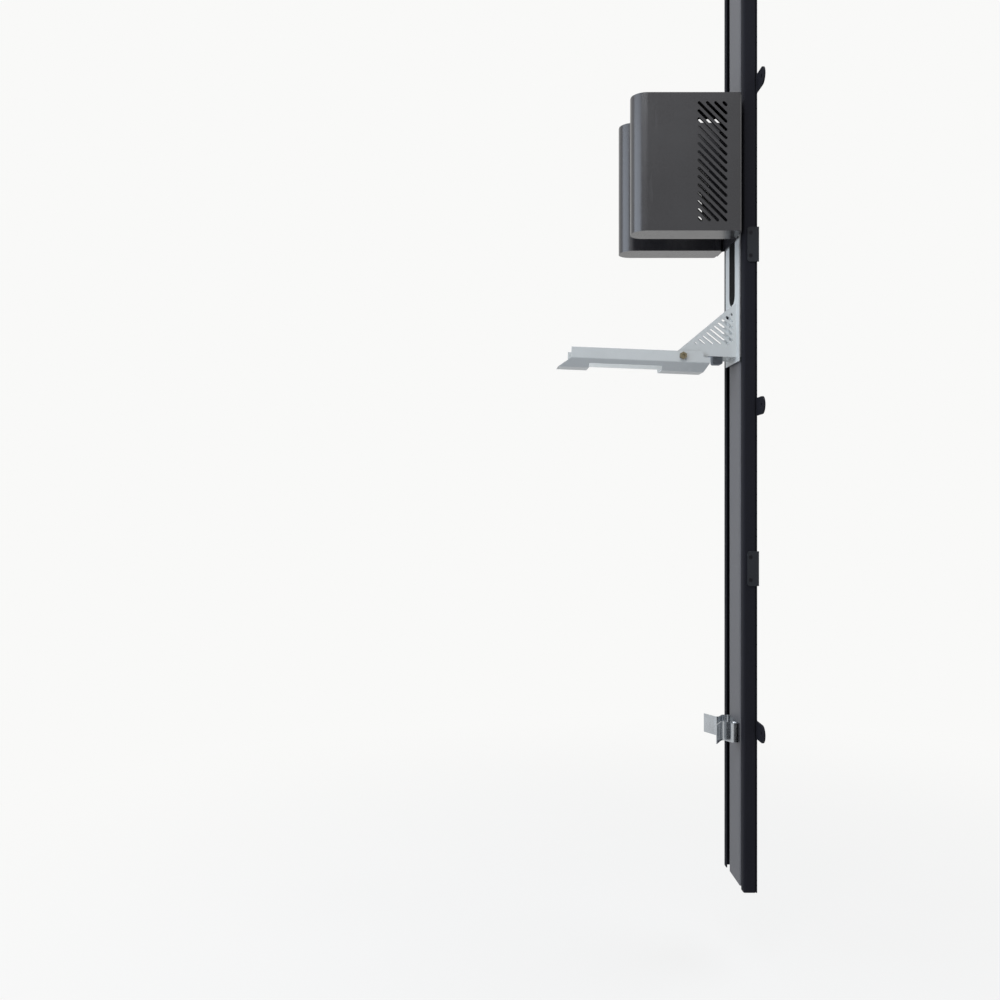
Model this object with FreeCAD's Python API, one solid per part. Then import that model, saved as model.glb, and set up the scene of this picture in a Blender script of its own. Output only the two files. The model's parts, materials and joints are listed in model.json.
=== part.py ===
import FreeCAD, Part
import math
import os

from FreeCAD import Vector

# Frame: X = 0 is the wall, the room lies towards -X, Y = 0 is the mid-plane of the column,
# and Z = 0 is the middle of the wall bolts. All sizes are in millimetres.

# Column
SEGMENT_NAMES = ("lower", "middle", "upper")
SPLICE_NAMES = ("lower", "upper")
SEGMENT_LENGTH = 624.0
COLUMN_WIDTH = 148.0
COLUMN_DEPTH = 26.0
COLUMN_SHEET = 2.0
LIP_WIDTH = 18.0
PANEL_WIDTH = 80.0
PANEL_RECESS = 2.0
PANEL_RETURN = 6.0
SPINE_WIDTH = 28.0
BEND_RADIUS = 1.5
CAP_THICKNESS = 3.0
CAP_PLUG = 15.0

# Wall straps
STRAP_THICKNESS = 3.0
STRAP_HEIGHT = 34.0
EAR_REACH = 44.0
WALL_BOLT_BORE = 9.0
RIVET_DIAMETER = 5.0
RIVET_SPACING = 72.0

# Splice plates
SPLICE_HEIGHT = 67.0
SPLICE_SHEET = 2.0
SPLICE_CORNER = 5.0
SPLICE_INSET = 7.0
SPLICE_SCREW_PITCH = 44.0
SPLICE_SCREW_SETBACK = 13.0
SPLICE_SCREW_DIAMETER = 4.0
SPLICE_SCREW_HEAD = 8.0

# Gas springs
STROKE_MARGIN = 24.0
SPRING_SPACING = 58.0
CYLINDER_DIAMETER = 18.0
CYLINDER_WALL = 1.5
CYLINDER_FOOT = 6.0
GLAND_LENGTH = 12.0
ROD_DIAMETER = 8.0
PISTON_LENGTH = 10.0
PISTON_REST_GAP = 6.0
ROD_END_RISE = 20.0
ROD_EYE_DIAMETER = 14.0
ROD_EYE_WIDTH = 8.0
ROD_PIN_DIAMETER = 6.0
ANCHOR_RISE = 10.0
ANCHOR_HEIGHT = 12.0
ANCHOR_WIDTH = 14.0
ANCHOR_DEPTH = 18.0
STUD_LENGTH = 20.0
STUD_NUT_HEIGHT = 5.0
STUD_NUT_FLATS = 13.0

# Carriage
CARRIAGE_CLEARANCE = 1.0
CARRIAGE_WIDTH = 100.0
CARRIAGE_SHEET = 2.0
CARRIAGE_SLOT = 42.0
CARRIAGE_RISE = 12.0
CARRIAGE_DROP = 12.0
CARRIAGE_SCREW_DIAMETER = 5.0
CARRIAGE_SCREW_HEAD = 10.0
CARRIAGE_SCREW_HEAD_HEIGHT = 3.0
CARRIAGE_SCREW_INSET = 11.0
WEB_SHEET = 4.0
WEB_END_INSET = 8.0
ROLLER_WIDTH = 10.0
ROLLER_SIDE_GAP = 2.0
ROLLER_INSET = 30.0
ROLLER_GROOVE = 1.5
AXLE_DIAMETER = 6.0
AXLE_COLLAR = 10.0
AXLE_HEAD_HEIGHT = 2.0
BUFFER_WIDTH = 8.0
BUFFER_HEIGHT = 18.0
BUFFER_DEPTH = 18.0
BUFFER_SIDE_GAP = 1.0

# Wheel guards
GUARD_OVER_JOINT = 18.0
GUARD_HEIGHT = 262.0
GUARD_GAP = 90.0
GUARD_THICKNESS = 60.0
GUARD_LENGTH = 206.0
GUARD_NOSE_RADIUS = 28.0
GUARD_REAR_RADIUS = 5.0
GUARD_SHEET = 2.0
GUARD_SCREW_INSET = 40.0
WING_JOGGLE = 6.0
WING_INSET = 13.0
WING_RAMP = 6.0
VENT_REAR_INSET = 27.0
VENT_END_INSET = 17.0
VENT_INNER_END_INSET = 28.0
VENT_WIDTH = 57.0
VENT_FRONT_INSET = 35.0
VENT_PITCH = 15.6
VENT_SLOT = 5.8

# Arm and tray
PIVOT_DROP = 227.0
PIVOT_REACH = 97.0
BRACKET_SHEET = 3.0
BRACKET_GAP = 58.0
BRACKET_DROP = 2.0
BRACKET_HEIGHT = 106.0
BRACKET_TOP_WIDTH = 1.0
BRACKET_NOSE_RADIUS = 13.0
BRACKET_HEEL_REACH = 40.0
BRACKET_HEEL_RISE = 1.0
BRACKET_FLANGE = 22.0
BRACKET_SCREW_INSET = 20.0
BRACKET_SLOT = 5.6
BRACKET_SLOT_FALL = 39.0
BRACKET_SLOT_FIRST = 21.0
BRACKET_SLOT_PITCH = 10.0
BRACKET_SLOT_COUNT = 10
BRACKET_SLOT_INSET = 10.0
BRACKET_SLOT_REAR = 9.5
BRACKET_SLOT_FLOOR = 25.0
TRAY_SHEET = 2.0
TRAY_SIDE_GAP = 3.5
TRAY_FRONT = 219.0
TRAY_REAR = 54.0
TRAY_LIP = 9.5
TRAY_WALL = 21.5
TRAY_FLANGE = 16.5
TRAY_TILT = 2.3
TRAY_NOSE = 24.0
TRAY_TAIL_CUT = 9.0
TRAY_STEP_LENGTH = 14.0
TRAY_STEP_DROP = 11.0
TRAY_NOTCH_FRONT = 37.0
TRAY_NOTCH_LENGTH = 144.0
TRAY_NOTCH_DEPTH = 8.5
PIVOT_BOLT_DIAMETER = 8.0
PIVOT_HEAD_FLATS = 13.0
PIVOT_HEAD_HEIGHT = 5.0
PIVOT_SOCKET_FLATS = 6.0
PIVOT_SOCKET_DEPTH = 3.0
PIVOT_BUSH_DIAMETER = 14.0
BUMPER_SETBACK = 65.0
BUMPER_LENGTH = 20.0
BUMPER_WIDTH = 18.0
BUMPER_DROP = 13.0
BUMPER_ROUND = 4.0
BUMPER_BAR_RISE = 1.0
BUMPER_BAR_HEIGHT = 7.0

# Tyre clip
CLIP_BELOW_STRAP = 12.5
CLIP_HEIGHT = 37.5
CLIP_SHEET = 1.5
CLIP_BASE = 78.0
CLIP_BELLY = 80.0
CLIP_BELLY_REACH = 16.0
CLIP_NECK = 34.0
CLIP_NECK_REACH = 29.0
CLIP_MOUTH = 104.0
CLIP_REACH = 48.0
CLIP_BEND = 5.0
CLIP_SCREW_PITCH = 20.0
CLIP_SCREW_DIAMETER = 5.0
CLIP_SCREW_HEAD = 8.0
CLIP_SCREW_HEAD_HEIGHT = 2.5

# Fits
RUN_FIT = 0.05
SLIP = 0.1
MOVING_GAP = 0.3
HEX_RECESS = 0.4

# Planes and lines that the pieces share
HALF_COLUMN = COLUMN_WIDTH / 2
COLUMN_HEIGHT = SEGMENT_LENGTH * len(SEGMENT_NAMES)
COLUMN_FOOT = -COLUMN_HEIGHT / 2
COLUMN_TOP = COLUMN_FOOT + COLUMN_HEIGHT
COLUMN_BACK = -STRAP_THICKNESS
COLUMN_FRONT = COLUMN_BACK - COLUMN_DEPTH
LIP_BACK = COLUMN_FRONT + COLUMN_SHEET
PANEL_FRONT = COLUMN_FRONT + PANEL_RECESS
PANEL_BACK = PANEL_FRONT + COLUMN_SHEET
BACKPLATE_FRONT = COLUMN_BACK - COLUMN_SHEET
RAIL_TRACK_BACK = BACKPLATE_FRONT - COLUMN_SHEET
RAIL_GAP_MIDDLE = (PANEL_WIDTH / 2 + HALF_COLUMN - LIP_WIDTH) / 2
BACK_FLANGE = HALF_COLUMN - RAIL_GAP_MIDDLE - BUFFER_WIDTH / 2 - BUFFER_SIDE_GAP
EAR_BOLT_Y = HALF_COLUMN + EAR_REACH - STRAP_HEIGHT / 2

STROKE = SEGMENT_LENGTH - STROKE_MARGIN
SPRING_X = (PANEL_BACK + BACKPLATE_FRONT) / 2
SPRING_Y = SPRING_SPACING / 2
CYLINDER_BORE = CYLINDER_DIAMETER - 2 * CYLINDER_WALL
CYLINDER_BASE = COLUMN_FOOT + ANCHOR_RISE + ANCHOR_HEIGHT
CYLINDER_LENGTH = CYLINDER_FOOT + STROKE + 2 * PISTON_REST_GAP + PISTON_LENGTH + GLAND_LENGTH
CYLINDER_TOP = CYLINDER_BASE + CYLINDER_LENGTH
PISTON_TOP = CYLINDER_TOP - GLAND_LENGTH - PISTON_REST_GAP
ROD_EYE_Z = CYLINDER_TOP + STROKE + ROD_END_RISE

WEB_OUTER_Y = RAIL_GAP_MIDDLE + WEB_SHEET / 2
WEB_INNER_Y = RAIL_GAP_MIDDLE - WEB_SHEET / 2
WEB_REAR = RAIL_TRACK_BACK - CARRIAGE_CLEARANCE
WEB_FRONT = COLUMN_FRONT - CARRIAGE_CLEARANCE
CARRIAGE_FRONT = WEB_FRONT - CARRIAGE_SHEET
SCREW_SEAT = CARRIAGE_FRONT - BRACKET_SHEET
WING_REAR = CARRIAGE_FRONT - WING_JOGGLE
GUARD_REAR = WING_REAR - BRACKET_SHEET
GUARD_FRONT = GUARD_REAR - GUARD_LENGTH
GUARD_INNER_Y = GUARD_GAP / 2
GUARD_OUTER_Y = GUARD_INNER_Y + GUARD_THICKNESS
GUARD_MIDDLE_Y = (GUARD_INNER_Y + GUARD_OUTER_Y) / 2
GUARD_BOTTOM = COLUMN_TOP - SEGMENT_LENGTH + GUARD_OVER_JOINT
GUARD_TOP = GUARD_BOTTOM + GUARD_HEIGHT

PIVOT_Z = GUARD_BOTTOM - PIVOT_DROP
PIVOT_X = GUARD_REAR - PIVOT_REACH
BRACKET_BOTTOM = PIVOT_Z - BRACKET_DROP
BRACKET_TOP = BRACKET_BOTTOM + BRACKET_HEIGHT
BRACKET_INNER_Y = BRACKET_GAP / 2
BRACKET_OUTER_Y = BRACKET_INNER_Y + BRACKET_SHEET
TRAY_INNER_Y = BRACKET_OUTER_Y + TRAY_SIDE_GAP
TRAY_OUTER_Y = TRAY_INNER_Y + TRAY_SHEET
CARRIAGE_BOTTOM = PIVOT_Z - CARRIAGE_DROP
CARRIAGE_TOP = GUARD_TOP + CARRIAGE_RISE
WEB_BOTTOM = CARRIAGE_BOTTOM + WEB_END_INSET
WEB_TOP = CARRIAGE_TOP - WEB_END_INSET

ROLLER_X = (LIP_BACK + RAIL_TRACK_BACK) / 2
ROLLER_RADIUS = (RAIL_TRACK_BACK - LIP_BACK) / 2 - MOVING_GAP
ROLLER_OUTER_Y = HALF_COLUMN - COLUMN_SHEET - ROLLER_SIDE_GAP
ROLLER_INNER_Y = ROLLER_OUTER_Y - ROLLER_WIDTH
ROLLER_HEIGHTS = {"lower": WEB_BOTTOM + ROLLER_INSET, "upper": WEB_TOP - ROLLER_INSET}

BRACKET_SCREW_Y = BRACKET_INNER_Y - (BRACKET_FLANGE - BRACKET_SHEET) / 2
CARRIAGE_SCREW_Y = CARRIAGE_WIDTH / 2 - CARRIAGE_SCREW_INSET
CARRIAGE_SCREW_POINTS = (
    Vector(SCREW_SEAT, BRACKET_SCREW_Y, BRACKET_BOTTOM + BRACKET_SCREW_INSET),
    Vector(SCREW_SEAT, BRACKET_SCREW_Y, BRACKET_TOP - BRACKET_SCREW_INSET),
    Vector(SCREW_SEAT, CARRIAGE_SCREW_Y, GUARD_BOTTOM + GUARD_SCREW_INSET),
    Vector(SCREW_SEAT, CARRIAGE_SCREW_Y, GUARD_TOP - GUARD_SCREW_INSET),
)
GUARD_SCREW_HEIGHTS = (GUARD_BOTTOM + GUARD_SCREW_INSET, GUARD_TOP - GUARD_SCREW_INSET)
CLIP_MIDDLE = COLUMN_FOOT + SEGMENT_LENGTH / 2 - CLIP_BELOW_STRAP
CLIP_BOTTOM = CLIP_MIDDLE - CLIP_HEIGHT / 2
CLIP_SCREW_HEIGHTS = (CLIP_MIDDLE - CLIP_SCREW_PITCH / 2, CLIP_MIDDLE + CLIP_SCREW_PITCH / 2)

X_AXIS = Vector(1, 0, 0)
Y_AXIS = Vector(0, 1, 0)
Z_AXIS = Vector(0, 0, 1)
ORIGIN = Vector(0, 0, 0)


# Helpers

def save(shape, node):
    shape.exportStep("parts/" + node + ".step")


def save_pair(left_shape, node):
    """The left piece stands at +Y, and the right one is its mirror image."""
    save(left_shape, node + "_left")
    save(mirrored(left_shape), node + "_right")


def mirrored(shape):
    return shape.mirror(ORIGIN, Y_AXIS)


def both_sides(shapes):
    return Part.makeCompound(shapes + [mirrored(shape) for shape in shapes])


def block(x0, x1, y0, y1, z0, z1):
    return Part.makeBox(x1 - x0, y1 - y0, z1 - z0, Vector(x0, y0, z0))


def rod(diameter, start, end):
    return Part.makeCylinder(diameter / 2, (end - start).Length, start, end - start)


def rounded_corner(before, corner, after, radius):
    """The two tangent points of a rounded corner and the middle of its arc."""
    to_before = (before - corner).normalize()
    to_after = (after - corner).normalize()
    half_angle = to_before.getAngle(to_after) / 2
    tangent = radius / math.tan(half_angle)
    inward = (to_before + to_after).normalize()
    centre = corner + inward * (radius / math.sin(half_angle))
    return corner + to_before * tangent, centre - inward * radius, corner + to_after * tangent


def rounded_path(points, radii):
    """Straight runs and arcs through an open row of points; each inner point has a radius."""
    edges = []
    start = points[0]
    for before, corner, after, radius in zip(points, points[1:], points[2:], radii):
        if radius > 0:
            first, middle, last = rounded_corner(before, corner, after, radius)
            edges.append(Part.makeLine(start, first))
            edges.append(Part.Arc(first, middle, last).toShape())
            start = last
        else:
            edges.append(Part.makeLine(start, corner))
            start = corner
    edges.append(Part.makeLine(start, points[-1]))
    return edges


def plate(points, radii, thickness):
    """A flat plate from a closed row of corners; the first corner is left sharp."""
    edges = rounded_path(points + [points[0]], radii)
    return Part.Face(Part.Wire(edges)).extrude(thickness)


def offset_row(points, normal, distance):
    """The row of points moved sideways by a distance, with mitred corners."""
    sides = []
    for start, end in zip(points, points[1:]):
        sides.append(normal.cross(end - start).normalize())
    moved = [points[0] + sides[0] * distance]
    for corner, first, second in zip(points[1:], sides, sides[1:]):
        mitre = (first + second).normalize()
        moved.append(corner + mitre * (distance / mitre.dot(first)))
    moved.append(points[-1] + sides[-1] * distance)
    return moved


def bent_sheet(points, thickness, bend, extent):
    """Folded sheet metal: the row is one face, and the sheet lies to its left along extent."""
    normal = Vector(extent).normalize()
    inner = offset_row(points, normal, thickness)
    outer_radii = []
    inner_radii = []
    for before, corner, after in zip(points, points[1:], points[2:]):
        turns_left = (corner - before).cross(after - corner).dot(normal) > 0
        outer_radii.append(bend + thickness if turns_left else bend)
        inner_radii.append(bend if turns_left else bend + thickness)
    edges = rounded_path(points, outer_radii)
    edges.append(Part.makeLine(points[-1], inner[-1]))
    edges += rounded_path(inner[::-1], inner_radii[::-1])
    edges.append(Part.makeLine(inner[0], points[0]))
    return Part.Face(Part.Wire(edges)).extrude(extent)


def hexagon(flats, start, end):
    """A hexagonal bar; its corners stand up and down or front and back."""
    axis = (end - start).normalize()
    up = X_AXIS if abs(axis.z) > 0.5 else Z_AXIS
    side = axis.cross(up)
    radius = flats / math.sqrt(3)
    corners = []
    for index in range(7):
        angle = math.radians(60 * index)
        corners.append(start + up * (radius * math.cos(angle)) + side * (radius * math.sin(angle)))
    return Part.Face(Part.makePolygon(corners)).extrude(end - start)


def headed_screw(seat, tip, diameter, head_diameter, head_height):
    """A round-headed screw whose head stands on seat, with a hexagonal recess."""
    outward = (seat - tip).normalize()
    crown = seat + outward * head_height
    head = rod(head_diameter, seat, crown)
    rim = [edge for edge in head.Edges if (edge.CenterOfMass - crown).Length < head_height / 4]
    head = head.makeFillet(head_height / 3, rim[:1])
    floor = crown - outward * (head_height / 2)
    recess = hexagon(head_diameter * HEX_RECESS, floor, crown + outward)
    return head.fuse(rod(diameter, tip, seat)).removeSplitter().cut(recess)


def countersink(face, tip, diameter, head_diameter, head_height):
    """The body of a countersunk screw whose head ends flush in face."""
    cone = Part.makeCone(head_diameter / 2, diameter / 2, head_height, face, tip - face)
    return cone.fuse(rod(diameter, face, tip)).removeSplitter()


def recessed(screw, face, tip, diameter, depth):
    """The screw with a hexagonal recess in its face."""
    inward = (tip - face).normalize()
    return screw.cut(hexagon(diameter * 2 * HEX_RECESS, face + inward * depth, face - inward))


def slot_cutter(start, end, width, y0, y1):
    """A round-ended slot through a wall that faces Y."""
    depth = Vector(0, y1 - y0, 0)
    base = Vector(0, y0, 0)
    along = (end - start).normalize()
    side = along.cross(Y_AXIS) * (width / 2)
    corners = [start + side, end + side, end - side, start - side, start + side]
    bar = Part.Face(Part.makePolygon([base + corner for corner in corners])).extrude(depth)
    for middle in (start, end):
        bar = bar.fuse(rod(width, base + middle, base + middle + depth))
    return bar.removeSplitter()


def vent_cutters(x0, x1, z0, z1, y0, y1):
    """Slots that fall at 45 degrees towards the wall, clipped to a rectangle."""
    inset = VENT_SLOT / 2
    left, right, low, high = x0 + inset, x1 - inset, z0 + inset, z1 - inset
    cutters = []
    level = low + left + (high - low + right - left) % VENT_PITCH / 2
    while level < high + right:
        start_x = max(left, level - high)
        end_x = min(right, level - low)
        start = Vector(start_x, 0, level - start_x)
        end = Vector(end_x, 0, level - end_x)
        if end_x - start_x > VENT_SLOT / 2:
            cutters.append(slot_cutter(start, end, VENT_SLOT, y0, y1))
        level += VENT_PITCH
    return cutters


# Column

def rail(z0):
    corners = [
        Vector(BACKPLATE_FRONT, HALF_COLUMN - BACK_FLANGE, z0),
        Vector(BACKPLATE_FRONT, HALF_COLUMN, z0),
        Vector(COLUMN_FRONT, HALF_COLUMN, z0),
        Vector(COLUMN_FRONT, HALF_COLUMN - LIP_WIDTH, z0),
    ]
    shape = bent_sheet(corners, COLUMN_SHEET, BEND_RADIUS, Z_AXIS * SEGMENT_LENGTH)
    for hole, screw in splice_screws():
        shape = shape.cut(hole)
    return shape


def front_panel(z0):
    half = PANEL_WIDTH / 2
    corners = [
        Vector(PANEL_FRONT + PANEL_RETURN, half, z0),
        Vector(PANEL_FRONT, half, z0),
        Vector(PANEL_FRONT, -half, z0),
        Vector(PANEL_FRONT + PANEL_RETURN, -half, z0),
    ]
    shape = bent_sheet(corners, COLUMN_SHEET, BEND_RADIUS, Z_AXIS * SEGMENT_LENGTH)
    for hole in clip_screw_holes():
        shape = shape.cut(hole)
    return shape


def back_channel(z0):
    z1 = z0 + SEGMENT_LENGTH
    half = SPINE_WIDTH / 2
    inner = half - COLUMN_SHEET
    shape = block(BACKPLATE_FRONT, COLUMN_BACK, -HALF_COLUMN, HALF_COLUMN, z0, z1)
    spine = block(PANEL_BACK, BACKPLATE_FRONT, -half, half, z0, z1)
    hollow = block(PANEL_BACK + COLUMN_SHEET, BACKPLATE_FRONT, -inner, inner, z0, z1)
    shape = shape.fuse(spine.cut(hollow)).removeSplitter()
    for hole in clip_screw_holes() + rivets():
        shape = shape.cut(hole)
    return shape


def top_cap():
    cover = block(COLUMN_FRONT, COLUMN_BACK, -HALF_COLUMN, HALF_COLUMN, COLUMN_TOP, COLUMN_TOP + CAP_THICKNESS)
    upright = [edge for edge in cover.Edges if abs(edge.tangentAt(edge.FirstParameter).z) > 0.5]
    cover = cover.makeFillet(BEND_RADIUS + COLUMN_SHEET, upright)
    side = SPINE_WIDTH / 2 - COLUMN_SHEET - SLIP
    front = PANEL_BACK + COLUMN_SHEET + SLIP
    plug = block(front, BACKPLATE_FRONT - SLIP, -side, side, COLUMN_TOP - CAP_PLUG, COLUMN_TOP)
    return cover.fuse(plug).removeSplitter()


def strap_heights():
    return [COLUMN_FOOT + SEGMENT_LENGTH * (index + 0.5) for index in range(len(SEGMENT_NAMES))]


def wall_strap(z):
    reach = HALF_COLUMN + EAR_REACH - STRAP_HEIGHT / 2
    shape = block(-STRAP_THICKNESS, 0, -reach, reach, z - STRAP_HEIGHT / 2, z + STRAP_HEIGHT / 2)
    for y in (-reach, reach):
        shape = shape.fuse(rod(STRAP_HEIGHT, Vector(-STRAP_THICKNESS, y, z), Vector(0, y, z)))
    shape = shape.removeSplitter()
    for y in (-EAR_BOLT_Y, EAR_BOLT_Y):
        shape = shape.cut(rod(WALL_BOLT_BORE, Vector(-STRAP_THICKNESS, y, z), Vector(0, y, z)))
    for rivet in rivets():
        shape = shape.cut(rivet)
    return shape


def rivets():
    shapes = []
    for z in strap_heights():
        for y in (-RIVET_SPACING / 2, RIVET_SPACING / 2):
            shapes.append(rod(RIVET_DIAMETER, Vector(BACKPLATE_FRONT, y, z), Vector(0, y, z)))
    return shapes


def splice_heights():
    return [COLUMN_FOOT + SEGMENT_LENGTH * index for index in range(1, len(SEGMENT_NAMES))]


def splice_plate(z):
    """A plate over a joint of the column, from behind its front edge to the wall."""
    low = z - SPLICE_HEIGHT / 2
    high = z + SPLICE_HEIGHT / 2
    corners = [
        Vector(0, HALF_COLUMN, low),
        Vector(COLUMN_FRONT + SPLICE_INSET, HALF_COLUMN, low),
        Vector(COLUMN_FRONT + SPLICE_INSET, HALF_COLUMN, high),
        Vector(0, HALF_COLUMN, high),
    ]
    shape = plate(corners, [SPLICE_CORNER, SPLICE_CORNER, 0], Y_AXIS * SPLICE_SHEET)
    for hole, screw in splice_screws():
        shape = shape.cut(hole)
    return shape


def splice_screws():
    """Each screw of the left splice plates, with the hole that it fills."""
    x = COLUMN_FRONT + SPLICE_SCREW_SETBACK
    pairs = []
    for z in splice_heights():
        for height in (z - SPLICE_SCREW_PITCH / 2, z + SPLICE_SCREW_PITCH / 2):
            tip = Vector(x, HALF_COLUMN - COLUMN_SHEET, height)
            face = Vector(x, HALF_COLUMN + SPLICE_SHEET, height)
            hole = countersink(face, tip, SPLICE_SCREW_DIAMETER, SPLICE_SCREW_HEAD, SPLICE_SHEET)
            pairs.append((hole, recessed(hole, face, tip, SPLICE_SCREW_DIAMETER, SPLICE_SHEET / 2)))
    return pairs


# Gas springs

def spring_anchor():
    low = COLUMN_FOOT + ANCHOR_RISE
    half = ANCHOR_WIDTH / 2
    front = BACKPLATE_FRONT - ANCHOR_DEPTH
    shape = block(front, BACKPLATE_FRONT, SPRING_Y - half, SPRING_Y + half, low, low + ANCHOR_HEIGHT)
    start = Vector(SPRING_X, SPRING_Y, low)
    return shape.cut(rod(ROD_DIAMETER + 2 * RUN_FIT, start, start + Z_AXIS * ANCHOR_HEIGHT))


def gas_cylinder():
    foot = Vector(SPRING_X, SPRING_Y, CYLINDER_BASE)
    shape = rod(CYLINDER_DIAMETER, foot, foot + Z_AXIS * CYLINDER_LENGTH)
    bore_start = foot + Z_AXIS * CYLINDER_FOOT
    shape = shape.cut(rod(CYLINDER_BORE, bore_start, foot + Z_AXIS * CYLINDER_LENGTH))
    return shape.fuse(rod(ROD_DIAMETER, foot - Z_AXIS * STUD_LENGTH, foot)).removeSplitter()


def stud_nut():
    top = Vector(SPRING_X, SPRING_Y, COLUMN_FOOT + ANCHOR_RISE)
    bottom = top - Z_AXIS * STUD_NUT_HEIGHT
    return hexagon(STUD_NUT_FLATS, bottom, top).cut(rod(ROD_DIAMETER + 2 * RUN_FIT, bottom, top))


def gas_gland():
    top = Vector(SPRING_X, SPRING_Y, CYLINDER_TOP)
    bottom = top - Z_AXIS * GLAND_LENGTH
    shape = rod(CYLINDER_BORE - 2 * SLIP, bottom, top)
    return shape.cut(rod(ROD_DIAMETER + 2 * RUN_FIT, bottom, top))


def gas_rod():
    piston_top = Vector(SPRING_X, SPRING_Y, PISTON_TOP)
    eye = Vector(SPRING_X, SPRING_Y, ROD_EYE_Z)
    half_eye = Y_AXIS * (ROD_EYE_WIDTH / 2)
    shape = rod(CYLINDER_BORE - 2 * SLIP, piston_top - Z_AXIS * PISTON_LENGTH, piston_top)
    shape = shape.fuse(rod(ROD_DIAMETER, piston_top, eye))
    shape = shape.fuse(rod(ROD_EYE_DIAMETER, eye - half_eye, eye + half_eye)).removeSplitter()
    return shape.cut(rod(ROD_PIN_DIAMETER + 2 * RUN_FIT, eye - half_eye, eye + half_eye))


def rod_pin():
    inner = Vector(SPRING_X, SPRING_Y - ROD_EYE_WIDTH / 2 - AXLE_HEAD_HEIGHT, ROD_EYE_Z)
    seat = Vector(SPRING_X, WEB_OUTER_Y, ROD_EYE_Z)
    head = rod(AXLE_COLLAR, seat, seat + Y_AXIS * AXLE_HEAD_HEIGHT)
    return rod(ROD_PIN_DIAMETER, inner, seat).fuse(head).removeSplitter()


# Carriage

def carriage_screws():
    shapes = []
    for seat in CARRIAGE_SCREW_POINTS:
        tip = Vector(WEB_FRONT, seat.y, seat.z)
        shapes.append(headed_screw(seat, tip, CARRIAGE_SCREW_DIAMETER, CARRIAGE_SCREW_HEAD,
                                   CARRIAGE_SCREW_HEAD_HEIGHT))
    return shapes


def carriage_screw_holes():
    shapes = []
    for seat in CARRIAGE_SCREW_POINTS:
        end = Vector(WEB_FRONT, seat.y, seat.z)
        shapes.append(rod(CARRIAGE_SCREW_DIAMETER + 2 * RUN_FIT, seat, end))
    return shapes


def slot_filling(inset):
    """The round-ended space of the carriage plate's slot, made smaller by an inset."""
    half = CARRIAGE_SLOT / 2 - inset
    low = BRACKET_TOP + CARRIAGE_SLOT / 2
    high = GUARD_TOP - CARRIAGE_SLOT / 2
    shape = block(CARRIAGE_FRONT, WEB_FRONT, -half, half, low, high)
    for z in (low, high):
        shape = shape.fuse(rod(2 * half, Vector(CARRIAGE_FRONT, 0, z), Vector(WEB_FRONT, 0, z)))
    return shape.removeSplitter()


def carriage_plate():
    half = CARRIAGE_WIDTH / 2
    shape = block(CARRIAGE_FRONT, WEB_FRONT, -half, half, CARRIAGE_BOTTOM, CARRIAGE_TOP)
    shape = shape.cut(slot_filling(0))
    for hole in carriage_screw_holes():
        shape = shape.cut(hole).cut(mirrored(hole))
    return shape


def guide_web():
    shape = block(WEB_FRONT, WEB_REAR, WEB_INNER_Y, WEB_OUTER_Y, WEB_BOTTOM, WEB_TOP)
    for z in ROLLER_HEIGHTS.values():
        start = Vector(ROLLER_X, WEB_INNER_Y, z)
        shape = shape.cut(rod(AXLE_DIAMETER + 2 * RUN_FIT, start, start + Y_AXIS * WEB_SHEET))
    start = Vector(SPRING_X, WEB_INNER_Y, ROD_EYE_Z)
    return shape.cut(rod(ROD_PIN_DIAMETER + 2 * RUN_FIT, start, start + Y_AXIS * WEB_SHEET))


def roller_axle(z):
    """A pin through the web, with a riveted head, a distance collar and an end collar."""
    def at(y):
        return Vector(ROLLER_X, y, z)
    end = ROLLER_OUTER_Y + MOVING_GAP
    shape = rod(AXLE_DIAMETER, at(WEB_INNER_Y), at(end))
    shape = shape.fuse(rod(AXLE_COLLAR, at(WEB_INNER_Y - AXLE_HEAD_HEIGHT), at(WEB_INNER_Y)))
    shape = shape.fuse(rod(AXLE_COLLAR, at(WEB_OUTER_Y), at(ROLLER_INNER_Y - MOVING_GAP)))
    end_collar = ROLLER_SIDE_GAP - 2 * MOVING_GAP
    return shape.fuse(rod(AXLE_COLLAR, at(end), at(end + end_collar))).removeSplitter()


def roller(z):
    start = Vector(ROLLER_X, ROLLER_INNER_Y, z)
    end = Vector(ROLLER_X, ROLLER_OUTER_Y, z)
    shape = rod(2 * ROLLER_RADIUS, start, end)
    face = Y_AXIS * ROLLER_GROOVE
    dish_outer = 2 * (ROLLER_RADIUS - 2 * ROLLER_GROOVE)
    dish_inner = AXLE_COLLAR + 2 * ROLLER_GROOVE
    for base in (start, end - face):
        shape = shape.cut(rod(dish_outer, base, base + face).cut(rod(dish_inner, base, base + face)))
    return shape.cut(rod(AXLE_DIAMETER + 2 * RUN_FIT, start, end))


def travel_buffer():
    low = WEB_TOP + MOVING_GAP
    half = BUFFER_WIDTH / 2
    front = BACKPLATE_FRONT - BUFFER_DEPTH
    return block(front, BACKPLATE_FRONT, RAIL_GAP_MIDDLE - half, RAIL_GAP_MIDDLE + half,
                 low, low + BUFFER_HEIGHT)


# Wheel guards

def guard_outline(inset, z, height):
    rear = GUARD_REAR - inset
    front = GUARD_FRONT + inset
    inner = GUARD_INNER_Y + inset
    outer = GUARD_OUTER_Y - inset
    nose = GUARD_NOSE_RADIUS - inset
    heel = GUARD_REAR_RADIUS - inset
    corners = [
        Vector(rear, (inner + outer) / 2, z),
        Vector(rear, inner, z),
        Vector(front, inner, z),
        Vector(front, outer, z),
        Vector(rear, outer, z),
    ]
    return plate(corners, [heel, nose, nose, heel], Z_AXIS * height)


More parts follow.
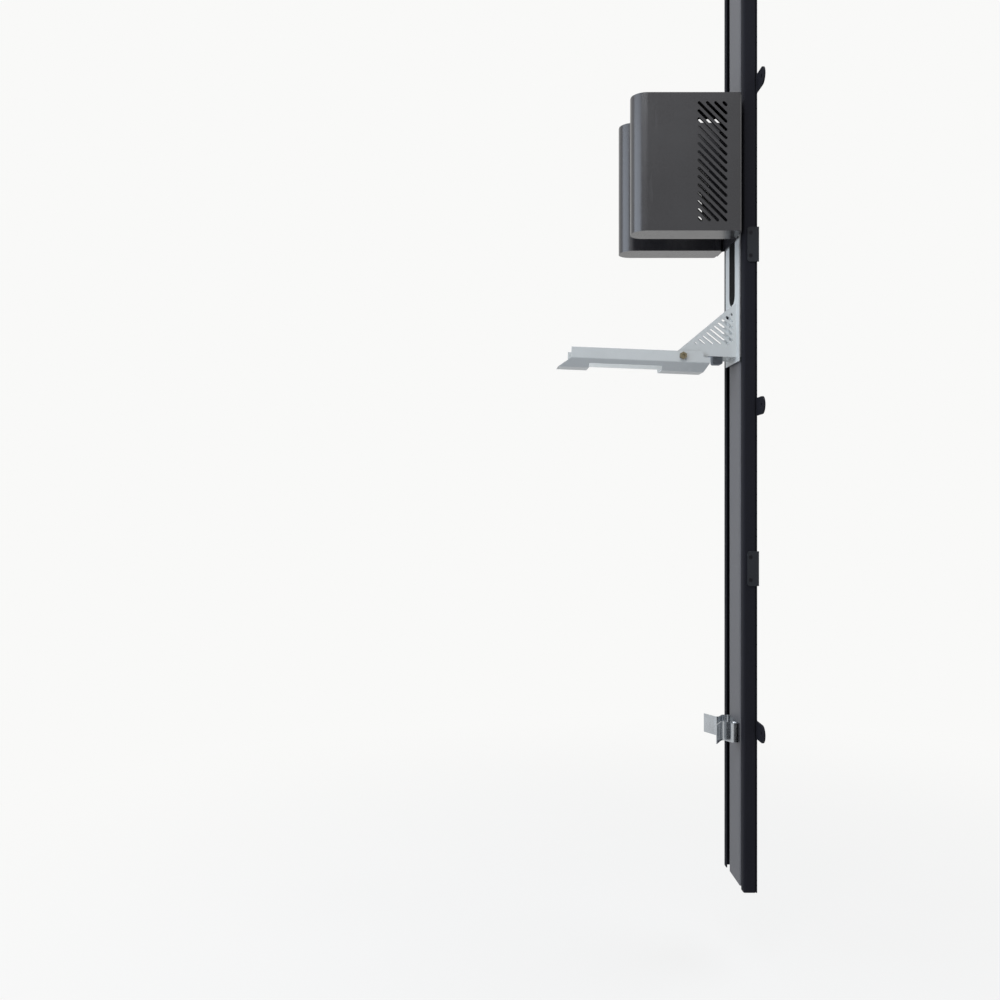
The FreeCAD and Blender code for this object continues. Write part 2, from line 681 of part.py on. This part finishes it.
def guard_screws():
    shapes = []
    for z in GUARD_SCREW_HEIGHTS:
        seat = Vector(WING_REAR, GUARD_MIDDLE_Y, z)
        tip = Vector(GUARD_REAR - GUARD_SHEET, GUARD_MIDDLE_Y, z)
        shapes.append(headed_screw(seat, tip, CARRIAGE_SCREW_DIAMETER, CARRIAGE_SCREW_HEAD,
                                   CARRIAGE_SCREW_HEAD_HEIGHT))
    return shapes


def guard_screw_holes():
    shapes = []
    for z in GUARD_SCREW_HEIGHTS:
        start = Vector(GUARD_REAR - GUARD_SHEET, GUARD_MIDDLE_Y, z)
        end = Vector(WING_REAR, GUARD_MIDDLE_Y, z)
        shapes.append(rod(CARRIAGE_SCREW_DIAMETER + 2 * RUN_FIT, start, end))
    return shapes


def guard_shell():
    shape = guard_outline(0, GUARD_BOTTOM, GUARD_HEIGHT)
    shape = shape.cut(guard_outline(GUARD_SHEET, GUARD_BOTTOM, GUARD_HEIGHT))
    vent_rear = GUARD_REAR - VENT_REAR_INSET
    cutters = vent_cutters(vent_rear - VENT_WIDTH, vent_rear,
                           GUARD_BOTTOM + VENT_END_INSET, GUARD_TOP - VENT_END_INSET,
                           GUARD_OUTER_Y - GUARD_SHEET - SLIP, GUARD_OUTER_Y + SLIP)
    cutters += vent_cutters(GUARD_FRONT + VENT_FRONT_INSET, vent_rear,
                            GUARD_BOTTOM + VENT_INNER_END_INSET, GUARD_TOP - VENT_INNER_END_INSET,
                            GUARD_INNER_Y - SLIP, GUARD_INNER_Y + GUARD_SHEET + SLIP)
    return shape.cut(Part.makeCompound(cutters + guard_screw_holes()))


def guard_end(z):
    return guard_outline(GUARD_SHEET + SLIP, z, GUARD_SHEET)


def guard_backplate():
    """A plate whose middle lies on the carriage plate and whose wings stand forward to the guards."""
    middle = CARRIAGE_WIDTH / 2
    half_row = [
        Vector(WING_REAR, GUARD_OUTER_Y - WING_INSET, GUARD_BOTTOM),
        Vector(WING_REAR, middle + WING_RAMP, GUARD_BOTTOM),
        Vector(CARRIAGE_FRONT, middle, GUARD_BOTTOM),
    ]
    row = [Vector(point.x, -point.y, point.z) for point in half_row] + half_row[::-1]
    shape = bent_sheet(row, BRACKET_SHEET, BEND_RADIUS, Z_AXIS * GUARD_HEIGHT)
    for hole in carriage_screw_holes() + guard_screw_holes():
        shape = shape.cut(hole).cut(mirrored(hole))
    return shape


# Arm and tray

def bracket_profile(y):
    """Side view of the arm bracket: a triangle whose front corner is a nose round the pivot."""
    pivot = Vector(PIVOT_X, y, PIVOT_Z)
    top_front = Vector(CARRIAGE_FRONT - BRACKET_TOP_WIDTH, y, BRACKET_TOP)
    to_top = top_front - pivot
    climb = math.atan2(to_top.z, to_top.x) + math.acos(BRACKET_NOSE_RADIUS / to_top.Length)
    nose_top = pivot + Vector(math.cos(climb), 0, math.sin(climb)) * BRACKET_NOSE_RADIUS
    nose_front = pivot - X_AXIS * BRACKET_NOSE_RADIUS
    nose_bottom = pivot - Z_AXIS * BRACKET_NOSE_RADIUS
    heel = pivot + X_AXIS * BRACKET_HEEL_REACH + Z_AXIS * BRACKET_HEEL_RISE
    rear_bottom = Vector(CARRIAGE_FRONT, y, BRACKET_BOTTOM)
    rear_top = Vector(CARRIAGE_FRONT, y, BRACKET_TOP)
    edges = [
        Part.makeLine(rear_bottom, rear_top),
        Part.makeLine(rear_top, top_front),
        Part.makeLine(top_front, nose_top),
        Part.Arc(nose_top, nose_front, nose_bottom).toShape(),
        Part.makeLine(nose_bottom, heel),
        Part.makeLine(heel, rear_bottom),
    ]
    return Part.Face(Part.Wire(edges)), top_front, nose_top


def bracket_slots(top_front, nose_top):
    """Slots that fall towards the wall from a row along the sloping edge to the rear and lower margins."""
    slope = (nose_top - top_front).normalize()
    inward = slope.cross(Y_AXIS)
    if inward.z > 0:
        inward = inward * -1
    angle = math.radians(BRACKET_SLOT_FALL)
    fall = Vector(math.cos(angle), 0, -math.sin(angle))
    rear = CARRIAGE_FRONT - BRACKET_SLOT_REAR
    floor = PIVOT_Z + BRACKET_SLOT_FLOOR
    row = Vector(top_front.x, 0, top_front.z) + slope * BRACKET_SLOT_FIRST + inward * BRACKET_SLOT_INSET
    cutters = []
    for index in range(BRACKET_SLOT_COUNT):
        start = row + slope * (BRACKET_SLOT_PITCH * index)
        length = min((rear - start.x) / fall.x, (floor - start.z) / fall.z)
        if length > 0:
            cutters.append(slot_cutter(start, start + fall * length, BRACKET_SLOT,
                                       BRACKET_INNER_Y - SLIP, BRACKET_OUTER_Y + SLIP))
    return cutters


def arm_bracket():
    face, top_front, nose_top = bracket_profile(BRACKET_INNER_Y)
    shape = face.extrude(Y_AXIS * BRACKET_SHEET)
    flange_edge = BRACKET_OUTER_Y - BRACKET_FLANGE
    flange = block(SCREW_SEAT, CARRIAGE_FRONT, flange_edge, BRACKET_INNER_Y, BRACKET_BOTTOM, BRACKET_TOP)
    shape = shape.fuse(flange).removeSplitter()
    pivot = Vector(PIVOT_X, BRACKET_INNER_Y, PIVOT_Z)
    shape = shape.cut(rod(PIVOT_BOLT_DIAMETER + 2 * RUN_FIT, pivot, pivot + Y_AXIS * BRACKET_SHEET))
    return shape.cut(Part.makeCompound(bracket_slots(top_front, nose_top) + carriage_screw_holes()))


def bumper():
    """A moulded bar between the bracket plates, with a foot below its middle."""
    x0 = PIVOT_X + BUMPER_SETBACK
    x1 = x0 + BUMPER_LENGTH
    low = PIVOT_Z - BUMPER_DROP
    bar_low = PIVOT_Z + BUMPER_BAR_RISE
    half = BUMPER_WIDTH / 2
    corners = [
        Vector(x1, -half, bar_low),
        Vector(x1, -half, low),
        Vector(x0, -half, low),
        Vector(x0, -half, bar_low),
    ]
    foot = plate(corners, [BUMPER_ROUND, BUMPER_ROUND, 0], Y_AXIS * BUMPER_WIDTH)
    bar = block(x0, x1, -BRACKET_INNER_Y, BRACKET_INNER_Y, bar_low, bar_low + BUMPER_BAR_HEIGHT)
    return foot.fuse(bar).removeSplitter()


def pivot_line(y):
    return Vector(PIVOT_X, y, PIVOT_Z)


def pivot_bolt():
    seat = -TRAY_OUTER_Y - MOVING_GAP
    tip = TRAY_OUTER_Y + MOVING_GAP + PIVOT_HEAD_HEIGHT
    crown = seat - PIVOT_HEAD_HEIGHT
    head = hexagon(PIVOT_HEAD_FLATS, pivot_line(crown), pivot_line(seat))
    head = head.cut(hexagon(PIVOT_SOCKET_FLATS, pivot_line(crown), pivot_line(crown + PIVOT_SOCKET_DEPTH)))
    return head.fuse(rod(PIVOT_BOLT_DIAMETER, pivot_line(seat), pivot_line(tip))).removeSplitter()


def pivot_nut():
    start = pivot_line(TRAY_OUTER_Y + MOVING_GAP)
    end = start + Y_AXIS * PIVOT_HEAD_HEIGHT
    return hexagon(PIVOT_HEAD_FLATS, start, end).cut(rod(PIVOT_BOLT_DIAMETER + 2 * RUN_FIT, start, end))


def pivot_bush():
    start = pivot_line(BRACKET_OUTER_Y)
    end = pivot_line(TRAY_INNER_Y - MOVING_GAP)
    return rod(PIVOT_BUSH_DIAMETER, start, end).cut(rod(PIVOT_BOLT_DIAMETER + 2 * RUN_FIT, start, end))


def tray():
    """A folded trough; it is drawn level with its pivot at the origin, then tilted and set in place."""
    wall_foot = TRAY_LIP - TRAY_WALL
    floor_z = wall_foot - TRAY_FLANGE
    floor_y = TRAY_OUTER_Y - TRAY_FLANGE
    front = -TRAY_FRONT - TRAY_NOSE
    corners = [
        Vector(front, -TRAY_OUTER_Y, TRAY_LIP),
        Vector(front, -TRAY_OUTER_Y, wall_foot),
        Vector(front, -floor_y, floor_z),
        Vector(front, floor_y, floor_z),
        Vector(front, TRAY_OUTER_Y, wall_foot),
        Vector(front, TRAY_OUTER_Y, TRAY_LIP),
    ]
    length = TRAY_FRONT + TRAY_NOSE + TRAY_REAR
    shape = bent_sheet(corners, TRAY_SHEET, BEND_RADIUS, X_AXIS * length)

    wide = TRAY_OUTER_Y + SLIP
    nose_cut = [
        Vector(front - SLIP, -wide, TRAY_LIP + SLIP),
        Vector(front - SLIP, -wide, floor_z),
        Vector(front, -wide, floor_z),
        Vector(-TRAY_FRONT, -wide, wall_foot),
        Vector(-TRAY_FRONT, -wide, TRAY_LIP + SLIP),
    ]
    tail_cut = [
        Vector(TRAY_REAR + SLIP, -wide, wall_foot),
        Vector(TRAY_REAR, -wide, wall_foot),
        Vector(TRAY_REAR - TRAY_TAIL_CUT, -wide, floor_z - SLIP),
        Vector(TRAY_REAR + SLIP, -wide, floor_z - SLIP),
    ]
    for corners in (nose_cut, tail_cut):
        shape = shape.cut(plate(corners, [0] * (len(corners) - 1), Y_AXIS * (2 * wide)))

    notch_start = -TRAY_FRONT + TRAY_NOTCH_FRONT
    notch = block(notch_start, notch_start + TRAY_NOTCH_LENGTH, -wide, wide,
                  floor_z - SLIP, floor_z + TRAY_NOTCH_DEPTH)
    bolt_hole = rod(PIVOT_BOLT_DIAMETER + 2 * RUN_FIT, Vector(0, -wide, 0), Vector(0, wide, 0))
    step = block(TRAY_REAR - TRAY_STEP_LENGTH, TRAY_REAR, -wide, wide, TRAY_LIP - TRAY_STEP_DROP, TRAY_LIP)
    shape = shape.cut(notch).cut(bolt_hole).cut(step)
    shape.rotate(ORIGIN, Y_AXIS, TRAY_TILT)
    shape.translate(pivot_line(0))
    return shape


# Tyre clip

def clip_screws():
    seat_x = PANEL_FRONT - CLIP_SHEET
    shapes = []
    for z in CLIP_SCREW_HEIGHTS:
        seat = Vector(seat_x, 0, z)
        tip = Vector(PANEL_BACK + COLUMN_SHEET, 0, z)
        shapes.append(headed_screw(seat, tip, CLIP_SCREW_DIAMETER, CLIP_SCREW_HEAD, CLIP_SCREW_HEAD_HEIGHT))
    return shapes


def clip_screw_holes():
    shapes = []
    for z in CLIP_SCREW_HEIGHTS:
        start = Vector(PANEL_FRONT - CLIP_SHEET, 0, z)
        end = Vector(PANEL_BACK + COLUMN_SHEET, 0, z)
        shapes.append(rod(CLIP_SCREW_DIAMETER + 2 * RUN_FIT, start, end))
    return shapes


def tyre_clip():
    half_row = [
        Vector(PANEL_FRONT - CLIP_REACH, CLIP_MOUTH / 2, CLIP_BOTTOM),
        Vector(PANEL_FRONT - CLIP_NECK_REACH, CLIP_NECK / 2, CLIP_BOTTOM),
        Vector(PANEL_FRONT - CLIP_BELLY_REACH, CLIP_BELLY / 2, CLIP_BOTTOM),
        Vector(PANEL_FRONT, CLIP_BASE / 2, CLIP_BOTTOM),
    ]
    other_half = [Vector(point.x, -point.y, point.z) for point in half_row[::-1]]
    row = (half_row + other_half)[::-1]
    shape = bent_sheet(row, CLIP_SHEET, CLIP_BEND, Z_AXIS * CLIP_HEIGHT)
    for hole in clip_screw_holes():
        shape = shape.cut(hole)
    return shape


# Build

os.makedirs("parts", exist_ok=True)

for index, name in enumerate(SEGMENT_NAMES):
    foot = COLUMN_FOOT + SEGMENT_LENGTH * index
    save_pair(rail(foot), "rail_" + name)
    save(front_panel(foot), "front_panel_" + name)
    save(back_channel(foot), "back_channel_" + name)
    save(wall_strap(strap_heights()[index]), "wall_strap_" + name)
for name, height in zip(SPLICE_NAMES, splice_heights()):
    save_pair(splice_plate(height), "splice_plate_" + name)
save(both_sides([screw for hole, screw in splice_screws()]), "splice_screws")
save(Part.makeCompound(rivets()), "strap_rivets")
save(top_cap(), "top_cap")

save_pair(spring_anchor(), "spring_anchor")
save_pair(gas_cylinder(), "gas_cylinder")
save_pair(gas_gland(), "gas_gland")
save_pair(gas_rod(), "gas_rod")
save(both_sides([stud_nut()]), "stud_nuts")
save(both_sides([rod_pin()]), "rod_pins")
save_pair(travel_buffer(), "travel_buffer")

save(tyre_clip(), "tyre_clip")
save(Part.makeCompound(clip_screws()), "clip_screws")

save(carriage_plate(), "carriage_plate")
save_pair(guide_web(), "guide_web")
save(both_sides([roller_axle(height) for height in ROLLER_HEIGHTS.values()]), "roller_axles")
for name, height in ROLLER_HEIGHTS.items():
    save_pair(roller(height), "roller_" + name)
save(slot_filling(SLIP), "tyre_strip")
save(both_sides(carriage_screws() + guard_screws()), "carriage_screws")

save(guard_backplate(), "guard_backplate")
save_pair(guard_shell(), "guard_shell")
save_pair(guard_end(GUARD_BOTTOM), "guard_floor")
save_pair(guard_end(GUARD_TOP - GUARD_SHEET), "guard_top")

save_pair(arm_bracket(), "arm_bracket")
save(bumper(), "bumper")
save(pivot_bolt(), "pivot_bolt")
save(pivot_nut(), "pivot_nut")
save(both_sides([pivot_bush()]), "pivot_bushes")
save(tray(), "tray")
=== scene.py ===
import json
import math

import bpy
from mathutils import Matrix, Vector


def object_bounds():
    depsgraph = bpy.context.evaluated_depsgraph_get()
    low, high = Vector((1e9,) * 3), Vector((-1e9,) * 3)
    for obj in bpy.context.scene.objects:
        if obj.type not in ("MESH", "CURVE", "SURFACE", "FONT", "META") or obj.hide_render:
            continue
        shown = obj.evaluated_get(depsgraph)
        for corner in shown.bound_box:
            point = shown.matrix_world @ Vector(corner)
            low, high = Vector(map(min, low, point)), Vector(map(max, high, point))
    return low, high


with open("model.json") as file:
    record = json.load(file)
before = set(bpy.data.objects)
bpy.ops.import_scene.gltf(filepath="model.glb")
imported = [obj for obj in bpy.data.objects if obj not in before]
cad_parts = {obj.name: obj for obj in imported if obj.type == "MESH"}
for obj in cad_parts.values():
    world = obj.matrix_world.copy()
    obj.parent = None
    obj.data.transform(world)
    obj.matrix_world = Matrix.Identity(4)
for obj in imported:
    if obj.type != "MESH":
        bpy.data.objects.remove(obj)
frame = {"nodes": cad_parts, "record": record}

CAD_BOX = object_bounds()
NODES = frame["nodes"]

# Camera: level, looking along +Y, with the photograph's vanishing point left of the middle
FRAME_PIXELS = 1000
FOCAL_PIXELS = 975
VANISHING_PIXEL = 475
SENSOR_MM = 36.0
CAMERA_PLACE = Vector((-0.546, -1.950, -0.180))

# Lighter edges of the paint: a painted highlight along the edges, and paint worn there
EDGE_RADIUS = 0.0012
EDGE_SAMPLES = 6

# Stage: the floor glows with the backdrop's colour, less of it near the column, where the shadow lies
FLOOR_DROP = 0.160
FLOOR_RADIUS = 40.0
FLOOR_CORNERS = 96
FLOOR_FADE = (0.3, 2.2)
FLOOR_GLOW_NEAR = 0.85
FLOOR_GLOW_GAIN = 0.15
AMBIENT_STRENGTH = 0.25
LIT_POINT = (-0.1, 0.0, 0.1)


def srgb(red, green, blue):
    """A colour written in screen values from 0 to 255, as a linear colour."""
    linear = []
    for value in (red, green, blue):
        share = value / 255
        linear.append(share / 12.92 if share <= 0.04045 else ((share + 0.055) / 1.055) ** 2.4)
    return (*linear, 1.0)


BACKDROP = srgb(249, 249, 248)
AMBIENT = srgb(228, 231, 236)
FLOOR_DARK = srgb(186, 186, 188)
FLOOR_PALE = srgb(196, 196, 198)
DUST = srgb(150, 148, 142)
SKYLIGHT = srgb(226, 238, 255)
LAMPLIGHT = srgb(246, 249, 255)
WHITE_LIGHT = srgb(255, 255, 255)


class Field:
    """A socket of a material; operators on it add Math nodes."""

    def __init__(self, tree, socket=None):
        self.tree = tree
        self.socket = socket

    def add(self, kind, settings=(), inputs=(), output=0):
        node = self.tree.nodes.new(kind)
        for name, value in dict(settings).items():
            setattr(node, name, value)
        for name, value in dict(inputs).items():
            if isinstance(value, Field):
                self.tree.links.new(value.socket, node.inputs[name])
            else:
                node.inputs[name].default_value = value
        return Field(self.tree, node.outputs[output])

    def math(self, operation, first, second):
        return self.add("ShaderNodeMath", {"operation": operation}, {0: first, 1: second})

    def __add__(self, other):
        return self.math("ADD", self, other)

    __radd__ = __add__

    def __sub__(self, other):
        return self.math("SUBTRACT", self, other)

    def __rsub__(self, other):
        return self.math("SUBTRACT", other, self)

    def __mul__(self, other):
        return self.math("MULTIPLY", self, other)

    __rmul__ = __mul__

    def ramp(self, low, high):
        """0 below low, 1 above high, smooth between."""
        settings = {"interpolation_type": "SMOOTHSTEP"}
        return self.add("ShaderNodeMapRange", settings, {"Value": self, "From Min": low, "From Max": high})

    def mix(self, first, second):
        """The colour between two colours, with this field as the factor."""
        settings = {"data_type": "RGBA", "clamp_factor": True}
        return self.add("ShaderNodeMix", settings, {0: self, 6: first, 7: second}, output=2)

    def noise(self, scale, detail=2.0, stretch=(1.0, 1.0, 1.0)):
        """Noise over the object's own coordinates; scale is in features per metre."""
        place = self.add("ShaderNodeTexCoord", output="Object")
        place = place.add("ShaderNodeMapping", {}, {"Vector": place, "Scale": stretch})
        return self.add("ShaderNodeTexNoise", {}, {"Vector": place, "Scale": scale, "Detail": detail})

    def facing_up(self):
        """1 on faces that look up, 0 on upright ones, -1 on faces that look down."""
        normal = self.add("ShaderNodeNewGeometry", output="Normal")
        return self.add("ShaderNodeSeparateXYZ", {}, {"Vector": normal}, output="Z")

    def edges(self, radius):
        """1 along the sharp edges of a piece, 0 on its flat and gently curved faces."""
        rounded = self.add("ShaderNodeBevel", {"samples": EDGE_SAMPLES}, {"Radius": radius})
        flat = self.add("ShaderNodeNewGeometry", output="Normal")
        settings = {"operation": "DOT_PRODUCT"}
        alike = self.add("ShaderNodeVectorMath", settings, {0: rounded, 1: flat}, output="Value")
        return 1 - alike.ramp(0.86, 0.98)

    def bump(self, strength, distance):
        """A normal from this field as a height; distance is in metres."""
        return self.add("ShaderNodeBump", {}, {"Height": self, "Strength": strength, "Distance": distance})


def new_material(name):
    """A material with its Principled shader and a field to start expressions from."""
    material = bpy.data.materials.new(name)
    material.use_nodes = True
    shader = material.node_tree.nodes["Principled BSDF"]
    return material, shader, Field(material.node_tree)


def link(shader, name, field):
    field.tree.links.new(field.socket, shader.inputs[name])


def tinted(colour, factor):
    return (*(min(1.0, channel * factor) for channel in colour[:3]), 1.0)


def powder_coat(name, colour, roughness, peel, gloss):
    """Sprayed and baked paint: orange peel, clouds, grain, rubbed streaks, lighter edges (painted highlight
    and worn paint) and settled dust.
    """
    material, shader, start = new_material(name)
    clouds = start.noise(11.0, 4.0)
    grain = start.noise(2600.0, 1.0)
    rubs = start.noise(70.0, 5.0, (1.0, 1.0, 0.12)).ramp(0.60, 0.82)
    dust = start.facing_up().ramp(0.75, 1.0) * start.noise(320.0, 6.0).ramp(0.20, 0.85)
    tone = clouds * 0.6 + grain * 0.4
    paint = tone.mix(tinted(colour, 0.84), tinted(colour, 1.16))
    paint = (rubs * 0.22).mix(paint, tinted(colour, 1.55))
    # Sharp edges lightened in patches: a painted edge highlight, and paint worn off the edges
    edge_highlight_and_wear = start.edges(EDGE_RADIUS) * start.noise(180.0, 4.0).ramp(0.30, 0.70)
    paint = (edge_highlight_and_wear * 0.45).mix(paint, tinted(colour, 2.2))
    paint = (dust * 0.06).mix(paint, DUST)
    link(shader, "Base Color", paint)
    link(shader, "Roughness", clouds * 0.12 + grain * 0.06 + rubs * 0.10 + dust * 0.18 + (roughness - 0.09))
    height = start.noise(900.0, 2.0) + grain * 0.25
    link(shader, "Normal", height.bump(peel, 0.00025))
    shader.inputs["Specular IOR Level"].default_value = gloss
    return material


def metal(name, colour, roughness, grain_stretch, scratch):
    """Bare or plated metal with drawn grain, smudges and small scratches."""
    material, shader, start = new_material(name)
    grain = start.noise(900.0, 3.0, grain_stretch)
    smudge = start.noise(45.0, 4.0)
    scratches = start.noise(600.0, 2.0, (1.0, 0.25, 1.0)).ramp(0.66, 0.72)
    tone = grain * 0.5 + smudge * 0.5
    link(shader, "Base Color", tone.mix(tinted(colour, 0.75), tinted(colour, 1.18)))
    link(shader, "Roughness", grain * 0.16 + smudge * 0.14 + scratches * scratch + (roughness - 0.15))
    link(shader, "Normal", (grain + scratches * 0.5).bump(0.12, 0.0002))
    shader.inputs["Metallic"].default_value = 1.0
    return material


def moulded(name, colour, roughness, texture_scale, gloss):
    """Moulded rubber or plastic with a fine eroded texture and paler bloom."""
    material, shader, start = new_material(name)
    texture = start.noise(texture_scale, 3.0)
    bloom = start.noise(60.0, 4.0).ramp(0.45, 0.8)
    base = texture.mix(tinted(colour, 0.82), tinted(colour, 1.12))
    link(shader, "Base Color", (bloom * 0.25).mix(base, tinted(colour, 1.5)))
    link(shader, "Roughness", texture * 0.14 + bloom * 0.10 + (roughness - 0.10))
    link(shader, "Normal", texture.bump(0.25, 0.0003))
    shader.inputs["Specular IOR Level"].default_value = gloss
    return material


# Paints: colour, roughness, depth of the orange peel, gloss
# Metals: colour, roughness, stretch of the grain, how dull the scratches are
# Rubber and plastic: colour, roughness, features of the texture per metre, gloss
FINISHES = {
    "column_paint": powder_coat("column_paint", srgb(31, 31, 35), 0.62, 0.18, 0.02),
    "splice_paint": powder_coat("splice_paint", srgb(43, 44, 46), 0.55, 0.16, 0.06),
    "panel_paint": powder_coat("panel_paint", srgb(89, 88, 89), 0.48, 0.16, 0.12),
    "guard_paint": powder_coat("guard_paint", srgb(35, 34, 36), 0.28, 0.08, 0.55),
    "arm_paint": powder_coat("arm_paint", srgb(182, 184, 181), 0.42, 0.12, 0.30),
    "cylinder_paint": powder_coat("cylinder_paint", srgb(22, 22, 24), 0.30, 0.08, 0.5),
    "black_steel": metal("black_steel", srgb(36, 36, 39), 0.42, (1.0, 1.0, 1.0), 0.15),
    "plain_steel": metal("plain_steel", srgb(196, 198, 200), 0.34, (1.0, 0.2, 1.0), 0.20),
    "spring_steel": metal("spring_steel", srgb(176, 180, 184), 0.26, (1.0, 1.0, 0.08), 0.20),
    "yellow_zinc": metal("yellow_zinc", srgb(122, 114, 94), 0.28, (1.0, 1.0, 1.0), 0.18),
    "rod_chrome": metal("rod_chrome", srgb(214, 216, 218), 0.16, (1.0, 1.0, 0.1), 0.08),
    "buffer_rubber": moulded("buffer_rubber", srgb(132, 135, 138), 0.75, 900.0, 0.20),
    # The rubber strip in the carriage plate's slot is near black so that it also stands in for the shade in
    # that gap: painted shade
    "strip_rubber": moulded("strip_rubber", srgb(18, 18, 19), 0.70, 900.0, 0.02),
    "bearing_plastic": moulded("bearing_plastic", srgb(212, 210, 200), 0.45, 700.0, 0.5),
}


def paint_nodes():
    """Each node gets the finish that its record names."""
    for entry in frame["record"]["subparts"]:
        for slot in NODES[entry["node"]].material_slots:
            slot.material = FINISHES[entry["material_slot"]]


def seen_rays(start):
    """1 for rays that show the backdrop: straight from the camera, in gloss or through glass."""
    paths = "ShaderNodeLightPath"
    seen = start.add(paths, output="Is Camera Ray")
    seen = seen.math("MAXIMUM", seen, start.add(paths, output="Is Glossy Ray"))
    return seen.math("MAXIMUM", seen, start.add(paths, output="Is Transmission Ray"))


def floor_material():
    """Pale floor that keeps the shadow near the column and fades into the backdrop further out."""
    material, shader, start = new_material("pale_floor")
    tree = material.node_tree
    speck = start.noise(3.0, 5.0)
    link(shader, "Base Color", speck.mix(FLOOR_DARK, FLOOR_PALE))
    shader.inputs["Roughness"].default_value = 0.9
    shader.inputs["Specular IOR Level"].default_value = 0.1
    place = start.add("ShaderNodeTexCoord", output="Object")
    distance = start.add("ShaderNodeVectorMath", {"operation": "LENGTH"}, {0: place}, output="Value")
    glow = start.add("ShaderNodeEmission", {}, {"Color": BACKDROP, "Strength": 1.0})
    near, far = FLOOR_FADE
    fade = distance.ramp(near, far) * FLOOR_GLOW_GAIN + FLOOR_GLOW_NEAR
    mixed = start.add("ShaderNodeMixShader", {}, {0: fade * seen_rays(start), 2: glow})
    tree.links.new(shader.outputs["BSDF"], mixed.socket.node.inputs[1])
    tree.links.new(mixed.socket, tree.nodes["Material Output"].inputs["Surface"])
    return material


def make_stage():
    """The floor below the foot of the column, and a world that shows as the pale backdrop."""
    bpy.ops.object.select_all(action="DESELECT")
    bpy.ops.mesh.primitive_circle_add(vertices=FLOOR_CORNERS, radius=FLOOR_RADIUS, fill_type="TRIFAN",
                                      location=(0, 0, CAD_BOX[0][2] - FLOOR_DROP))
    floor = bpy.context.object
    floor.name = "floor"
    floor.data.materials.append(floor_material())

    world = bpy.data.worlds.new("studio")
    bpy.context.scene.world = world
    world.use_nodes = True
    tree = world.node_tree
    start = Field(tree)
    ambient = start.add("ShaderNodeBackground", {}, {"Color": AMBIENT, "Strength": AMBIENT_STRENGTH})
    backdrop = start.add("ShaderNodeBackground", {}, {"Color": BACKDROP, "Strength": 1.0})
    mixed = start.add("ShaderNodeMixShader", {}, {0: seen_rays(start), 1: ambient, 2: backdrop})
    tree.links.new(mixed.socket, tree.nodes["World Output"].inputs["Surface"])


def soft_light(name, place, size, power, colour):
    """A rectangular area lamp that faces the lit point."""
    lamp = bpy.data.lights.new(name, "AREA")
    lamp.shape = "RECTANGLE"
    lamp.size, lamp.size_y = size
    lamp.energy = power
    lamp.color = colour[:3]
    holder = bpy.data.objects.new(name, lamp)
    holder.location = place
    holder.rotation_euler = (Vector(LIT_POINT) - Vector(place)).to_track_quat("-Z", "Y").to_euler()
    bpy.context.scene.collection.objects.link(holder)


def make_lights():
    soft_light("window", place=(-2.5, -0.75, 0.5), size=(2.6, 2.2), power=70, colour=SKYLIGHT)
    soft_light("front_fill", place=(-1.0, -2.6, 3.0), size=(2.4, 2.0), power=116, colour=LAMPLIGHT)
    soft_light("ceiling", place=(-0.6, 0.2, 3.0), size=(3.0, 3.0), power=30, colour=WHITE_LIGHT)
    soft_light("rear", place=(1.7, 0.0, 2.9), size=(2.0, 2.4), power=90, colour=LAMPLIGHT)


def make_camera():
    camera = bpy.data.cameras.new("camera")
    camera.sensor_width = SENSOR_MM
    camera.lens = SENSOR_MM * FOCAL_PIXELS / FRAME_PIXELS
    camera.shift_x = (FRAME_PIXELS / 2 - VANISHING_PIXEL) / FRAME_PIXELS
    camera.clip_end = 60.0
    holder = bpy.data.objects.new("camera", camera)
    holder.matrix_world = Matrix.Translation(CAMERA_PLACE) @ Matrix.Rotation(math.radians(90), 4, "X")
    bpy.context.scene.collection.objects.link(holder)
    bpy.context.scene.camera = holder


paint_nodes()
make_stage()
make_lights()
make_camera()
bpy.context.scene.view_settings.view_transform = "Standard"
